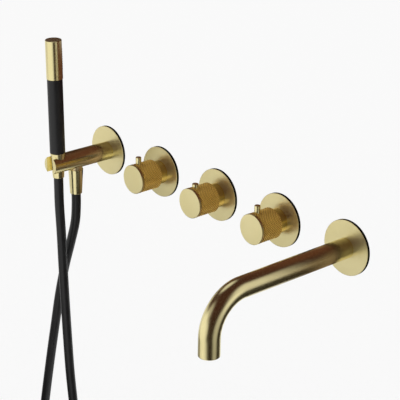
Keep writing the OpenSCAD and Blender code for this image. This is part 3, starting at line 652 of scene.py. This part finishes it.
black_hose = moulded_finish("black_hose", (0.0045, 0.0045, 0.0050), (0.008, 0.008, 0.0085),
                            rough=(0.36, 0.44), grain=2600.0, grain_depth=0.00003)
hose_route = np.concatenate([
    [hose_start],
    np.column_stack([outlet_x + hose_bends[:, 0],
                     outlet_y + hose_bends[:, 1] * (seat_y - outlet_y), hose_bends[:, 2]]),
    [hose_top],
])
hose_steps, hose_sides = 8, 24
hose_line = smooth_route(hose_route, hose_steps)
hose = tube("hose", hose_line, hose_radius, hose_sides)
hose.data.materials.append(black_hose)
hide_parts("shower_hose")
# Every ring is drawn in to its middle while the hose's place is baked into its points, and then
# its skin is put back.
hose_skin = np.empty(3 * len(hose.data.vertices), np.float32)
hose.data.vertices.foreach_get("co", hose_skin)
hose_core = np.concatenate([np.repeat(hose_line, hose_sides, axis=0), hose_line[[0, -1]]])
hose.data.vertices.foreach_set("co", hose_core.astype(np.float32).reshape(-1))
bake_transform(hose)
hose.data.vertices.foreach_set("co", hose_skin)
hose.data.update()


# Knob collars
# A plain turned brass cup over each valve's headwork. It slides on from the front, stands on the
# rose and hides the headwork as far as the knob.
collar_corners = [(rose_bore, rose_thickness), (17, rose_thickness), (17, 17.1), (9.1, 17.1),
                  (9.1, 15.6), (rose_bore, 15.6)]
collar_ease = 0.3
collar_brass = brass_finish("collar_brass", (0.84, 0.62, 0.22), (0.89, 0.68, 0.27),
                            rough=(0.16, 0.22), lines=satin_lines, line_depth=satin_depth)
valves = ("shower", "thermostat", "bath")
for valve in valves:
    made(turned("collar_" + valve, eased(collar_corners, collar_ease), out_of_wall(hole_x[valve])),
         collar_brass, "fixed_set", "satin_brass", valve + "_collar")


# Valve insides
# Behind each flow knob two lapped ceramic discs sit on a rubber seal, and a brass spindle turns
# the front one. The thermostat has a wax element that moves a shuttle against a spring.
ceramic = moulded_finish("ceramic", (0.80, 0.79, 0.75), (0.87, 0.86, 0.83), rough=(0.12, 0.2),
                         grain=3000.0, grain_depth=0.000005)
copper = steel_finish("copper", (0.55, 0.29, 0.17), (0.68, 0.40, 0.26), rough=(0.25, 0.38))
flow_valves = ("shower", "bath")
for valve in flow_valves:
    dress(rubber, valve + "_seat_seal")
    dress(ceramic, valve + "_fixed_disc", valve + "_turning_disc")
for valve in valves:
    dress(plain_brass, valve + "_spindle")
    dress(steel, valve + "_knob_screw")
dress(plain_brass, "retaining_ring")
dress(white_plastic, "thermostat_shuttle")
dress(copper, "wax_element")
return_wire, return_low, return_high = 1.2, -11.82, -5.68


def coil(seat, diameter, wire, turns, low, high):
    """A coil spring's middle line: a share s of the way along it, the point lies at origin
    + d/2 (cos t u + sin t v) + h w, with t = 2 pi turns s, and h rising evenly from low to high."""
    origin, u, v, w = seat
    steps_per_turn = 24
    share = np.linspace(0, 1, steps_per_turn * turns + 1)[:, None]
    angle = 2 * math.pi * turns * share
    height = low + wire / 2 + (high - low - wire) * share
    return (origin + diameter / 2 * (np.cos(angle) * u + np.sin(angle) * v) + height * w) * mm


return_line = coil(out_of_wall(hole_x["thermostat"]), diameter=12.75, wire=return_wire, turns=3,
                   low=return_low, high=return_high)
return_spring = made(tube("spring_return", return_line, return_wire / 2 * mm, sides=12), steel,
                     "fixed_set", "steel", "return_spring")
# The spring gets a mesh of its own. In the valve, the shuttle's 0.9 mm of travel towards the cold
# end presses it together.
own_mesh(return_spring)


# Knobs
# Each knob is one brass sleeve, knurled all over in a fine diamond pattern and drilled for its
# lever or stop button, on a web and a hub that hold the spindle.
knob_radius = 21.0
knob_ease = 0.25
knurl_teeth, knurl_steps, knurl_rows = 40, 4, 37
knurl_depth, knurl_flat = 0.55, 1.2
knurl_pitch = 2 * math.pi * knob_radius / knurl_teeth
knurl_start = 19.2
knurl_heights = knurl_start + np.arange(knurl_rows) * knurl_pitch / knurl_steps
knob_corners = [(4.05, 24), (18, 24), (18, 17.5), (20.5, 17.5), (knob_radius, 18),
                (knob_radius, 50.2), (18, 50.2), (18, 28), (8, 28), (8, 50.2), (5.6, 50.2),
                (5.6, 43.1), (2.1, 43.1), (2.1, 40.1), (4.05, 40.1)]
lever_height, lever_seat, lever_clear = 44.0, 20.52, 5.3
drill_sides = 48
sliver = 0.00001


def ridge(turns):
    """A triangle wave: 0 at whole turns and 1 half way between them."""
    return 1 - np.abs(2 * (turns % 1) - 1)


def knurl_relief(angle, height, radius):
    """Diamond knurl: two sets of crossing V grooves cut into the sleeve. With a and b, the turns
    along each set, a point lies depth (1 - min(flat ridge a, flat ridge b, 1)) below the sleeve,
    and a smooth ring is left round the hole of the lever or button, at the top."""
    round_turns = knurl_teeth * angle / (2 * math.pi)
    along = (height - knurl_start) / knurl_pitch
    tip = np.minimum(ridge(round_turns + along), ridge(round_turns - along))
    from_lever = np.hypot(radius * np.cos(angle), height - lever_height)
    slack = 1e-6
    on_knurl = (np.isclose(radius, knob_radius) & (height > knurl_heights[0] - slack)
                & (height < knurl_heights[-1] + slack)
                & ((from_lever > lever_clear) | (np.sin(angle) < 0)))
    return on_knurl * knurl_depth * (np.minimum(knurl_flat * tip, 1) - 1)


def drilled(piece, drill):
    """Cuts the shape of the drill out of a piece, takes the drill away, and closes up the faces that
    the cut leaves narrower than a sliver."""
    cut = piece.modifiers.new("drilled", "BOOLEAN")
    cut.operation, cut.solver, cut.object = "DIFFERENCE", "EXACT", drill
    seen_by = bpy.context.evaluated_depsgraph_get()
    shape = bpy.data.meshes.new_from_object(piece.evaluated_get(seen_by))
    edit = bmesh.new()
    edit.from_mesh(shape)
    bmesh.ops.dissolve_degenerate(edit, dist=sliver, edges=edit.edges)
    edit.to_mesh(shape)
    edit.free()
    piece.modifiers.clear()
    piece.data = shape
    bpy.data.objects.remove(drill)
    return piece


def knurl_finish(name, groove, tip, rough, first_run):
    """Knurled brass: the two sets of grooves, worked out from the UV map as knurl_relief does from
    angle and height, are darker and duller than the tips between them. Their dark colour is painted
    shade, and the tips' deep orange gold is painted light bounced between the facets."""
    finish, shader, add, link = new_finish(name)
    half_turn, wear, groove_end, tip_start = 0.5, 0.12, 0.06, 0.34
    place = add("TexCoord").outputs
    cloud = add("TexNoise", {"Vector": place["Object"], "Scale": 60.0, "Detail": 3.0}).outputs[0]
    wrap = add("SeparateXYZ", {0: place["UV"]}).outputs
    around = worked(add, "MULTIPLY", wrap["X"], knurl_teeth)
    along = worked(add, "MULTIPLY", worked(add, "SUBTRACT", wrap["Y"], first_run),
                   1 / (knurl_pitch * mm))
    sets = [worked(add, "PINGPONG", worked(add, turn, around, along), half_turn)
            for turn in ("ADD", "SUBTRACT")]
    # Painted shade: 0 in a groove, up to a half on the tips, with a little cloud mixed in
    groove_shade_and_wear = worked(add, "MULTIPLY_ADD", cloud, wear, worked(add, "MINIMUM", *sets))
    link(two_tones(add, groove_shade_and_wear, groove_end, tip_start, groove, tip), "Base Color")
    link(span(add, groove_shade_and_wear, 0.0, half_turn, rough[1], rough[0]), "Roughness")
    shader.inputs["Metallic"].default_value = 0.7
    return finish


lever_drill = [(1, 9), (2.6, 9), (2.6, lever_seat), (4.1, lever_seat), (4.1, 24), (1, 24)]
button_drill = [(1, 9), (4.55, 9), (4.55, 24), (1, 24)]
drill_corners = {"shower": lever_drill, "thermostat": button_drill, "bath": lever_drill}
outline, knurl_range = ruled(eased(knob_corners, knob_ease), knob_radius, knurl_heights)
knurl_run = run_along(outline)[knurl_range[0]] * mm
# The groove colour is painted shade; the tip colour is painted light bounced between the facets
knurled_brass = knurl_finish("knurled_brass", groove=(0.24, 0.085, 0.005), tip=(1.0, 0.67, 0.15),
                             rough=(0.24, 0.5), first_run=knurl_run)
for valve in valves:
    knob = turned("knob_" + valve, outline, out_of_wall(hole_x[valve]), knurl_steps * knurl_teeth,
                  relief=knurl_relief, knurled=knurl_range)
    drill = turned("drill", np.array(drill_corners[valve], float),
                   upright(hole_x[valve], -lever_height, 0), drill_sides, looped=False)
    made(drilled(knob, drill), knurled_brass, valve + "_knob", "knurled_brass", valve + "_knob")


# Knob faces
# A satin disc closes each knob's front, on a boss pressed into the hub. A narrow step behind it
# leaves a shadow groove between disc and sleeve.
face_corners = [(2, 46.2), (5.5, 46.2), (5.5, 50.2), (19.6, 50.2), (19.6, 51.2),
                (knob_radius, 51.2), (knob_radius, 53.9), (20.5, 54.4), (8, 54.4)]
face_ease = [0.2, 0.2, 0.2, 0.1, 0.1, 0.15, 0.25, 0.25, 0.2]
face_sides = 144
satin_brass = satin_finish("satin_brass", rough=(0.29, 0.34))
for valve in valves:
    made(turned("face_" + valve, eased(face_corners, face_ease, looped=False),
                out_of_wall(hole_x[valve]), face_sides, looped=False),
         satin_brass, valve + "_knob", "satin_brass", valve + "_knob_cap")


# Levers and stop button
# A round brass pin screwed into each flow knob shows how far it is turned. The thermostat has a
# shorter, wider button in that place, which is pressed to turn past the usual bath temperature.
lever_corners = [(1, 18), (2.5, 18), (2.5, lever_seat), (4, lever_seat), (4, 31.5), (1.5, 31.5)]
lever_ease = [0.2, 0.2, 0.1, 0.1, 0.9, 0.2]
button_corners = [(1.5, 18.74), (2.95, 18.74), (2.95, 14.74), (5.5, 14.74), (5.5, 16.74),
                  (4.5, 16.74), (4.5, 26.5), (1.5, 26.5)]
button_ease = [0.2, 0.2, 0.2, 0.2, 0.2, 0.2, 0.9, 0.2]
pin_sides = 64
for valve in flow_valves:
    made(turned("lever_" + valve, eased(lever_corners, lever_ease, looped=False),
                upright(hole_x[valve], -lever_height, 0), pin_sides, looped=False),
         bright_brass, valve + "_knob", "satin_brass", valve + "_lever")
button_seat = upright(hole_x["thermostat"], -lever_height, 0)
made(turned("button_stop", eased(button_corners, button_ease, looped=False), button_seat, pin_sides,
            looped=False), bright_brass, "stop_button", "satin_brass", "stop_button")
# A steel spring under the button, which its 2.5 mm of travel presses together
spring_wire, spring_low, spring_high = 0.7, 8.15, 18.59
button_line = coil(button_seat, diameter=4.4, wire=spring_wire, turns=6, low=spring_low,
                   high=spring_high)
button_spring = made(tube("spring_button", button_line, spring_wire / 2 * mm, sides=10,
                          square_to=(0.0, 0.0, 1.0)),
                     steel, "thermostat_knob", "steel", "button_spring")
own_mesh(button_spring)


# Spout
# One length of brass tube, 27 mm across, bent down at its end and locked by a set screw from
# below. An aerator with a white core sits just inside its lip.
spout_radius, spout_bore, lip_bevel = 13.5, 11.0, 0.8
spout_straight, spout_bend, spout_drop = 186.0, 51.0, 23.0
bend_run = spout_straight + spout_bend * math.pi / 2
spout_end = bend_run + spout_drop
spout_corners = [
    (spout_bore, rose_thickness), (spout_radius, rose_thickness),
    (spout_radius, spout_end - lip_bevel), (spout_radius - lip_bevel, spout_end),
    (spout_bore, spout_end),
]
spout_ease, spout_sides = 0.35, 96
screw_y = -15.2
# Rows of points along the tube, outside and inside it, that keep clear of its rounded ends
outer_rows = np.arange(8, spout_end - 3, 2.0)
inner_rows = np.linspace(spout_end - 3, 6, 140)


def spout_grid(outline):
    """The outline's points (radius, run) carried round the spout's middle line, which leaves the
    wall, turns down through a quarter circle and goes straight down: point k of a ring lies at
    c + radius (cos t u + sin t v), with u and v square to the line at its run."""
    radius, run = outline[:, 0], outline[:, 1]
    bent = np.clip((run - spout_straight) / spout_bend, 0, math.pi / 2)
    flat = np.minimum(run, spout_straight)
    down = np.maximum(run - bend_run, 0)
    centre = np.stack([np.full_like(run, hole_x["spout"]), -flat - spout_bend * np.sin(bent),
                       spout_bend * (np.cos(bent) - 1) - down], axis=-1)
    v = np.stack([np.zeros_like(run), -np.sin(bent), np.cos(bent)], axis=-1)
    angle = np.arange(spout_sides) * 2 * math.pi / spout_sides
    ring = (np.cos(angle)[None, :, None] * np.array((1.0, 0, 0))
            + np.sin(angle)[None, :, None] * v[:, None])
    return (centre[:, None] + radius[:, None, None] * ring) * mm


outline, _ = ruled(eased(spout_corners, spout_ease), spout_radius, outer_rows)
inner = np.column_stack([np.full(len(inner_rows), spout_bore), inner_rows])
outline = np.concatenate([outline, inner])
outline_runs = run_along(np.concatenate([outline, outline[:1]])) * mm
spout = skinned("spout", spout_grid(outline), outline_runs, looped=True)
screw_corners = np.array([(1, -16), (2.6, -16), (2.6, -9), (1, -9)], float)
drill = turned("drill", screw_corners, upright(hole_x["spout"], screw_y, 0), drill_sides,
               looped=False)
made(drilled(spout, drill), drawn_brass, "fixed_set", "satin_brass", "spout_tube")
dress(plain_brass, "aerator_housing")
dress(white_plastic, "aerator_insert")
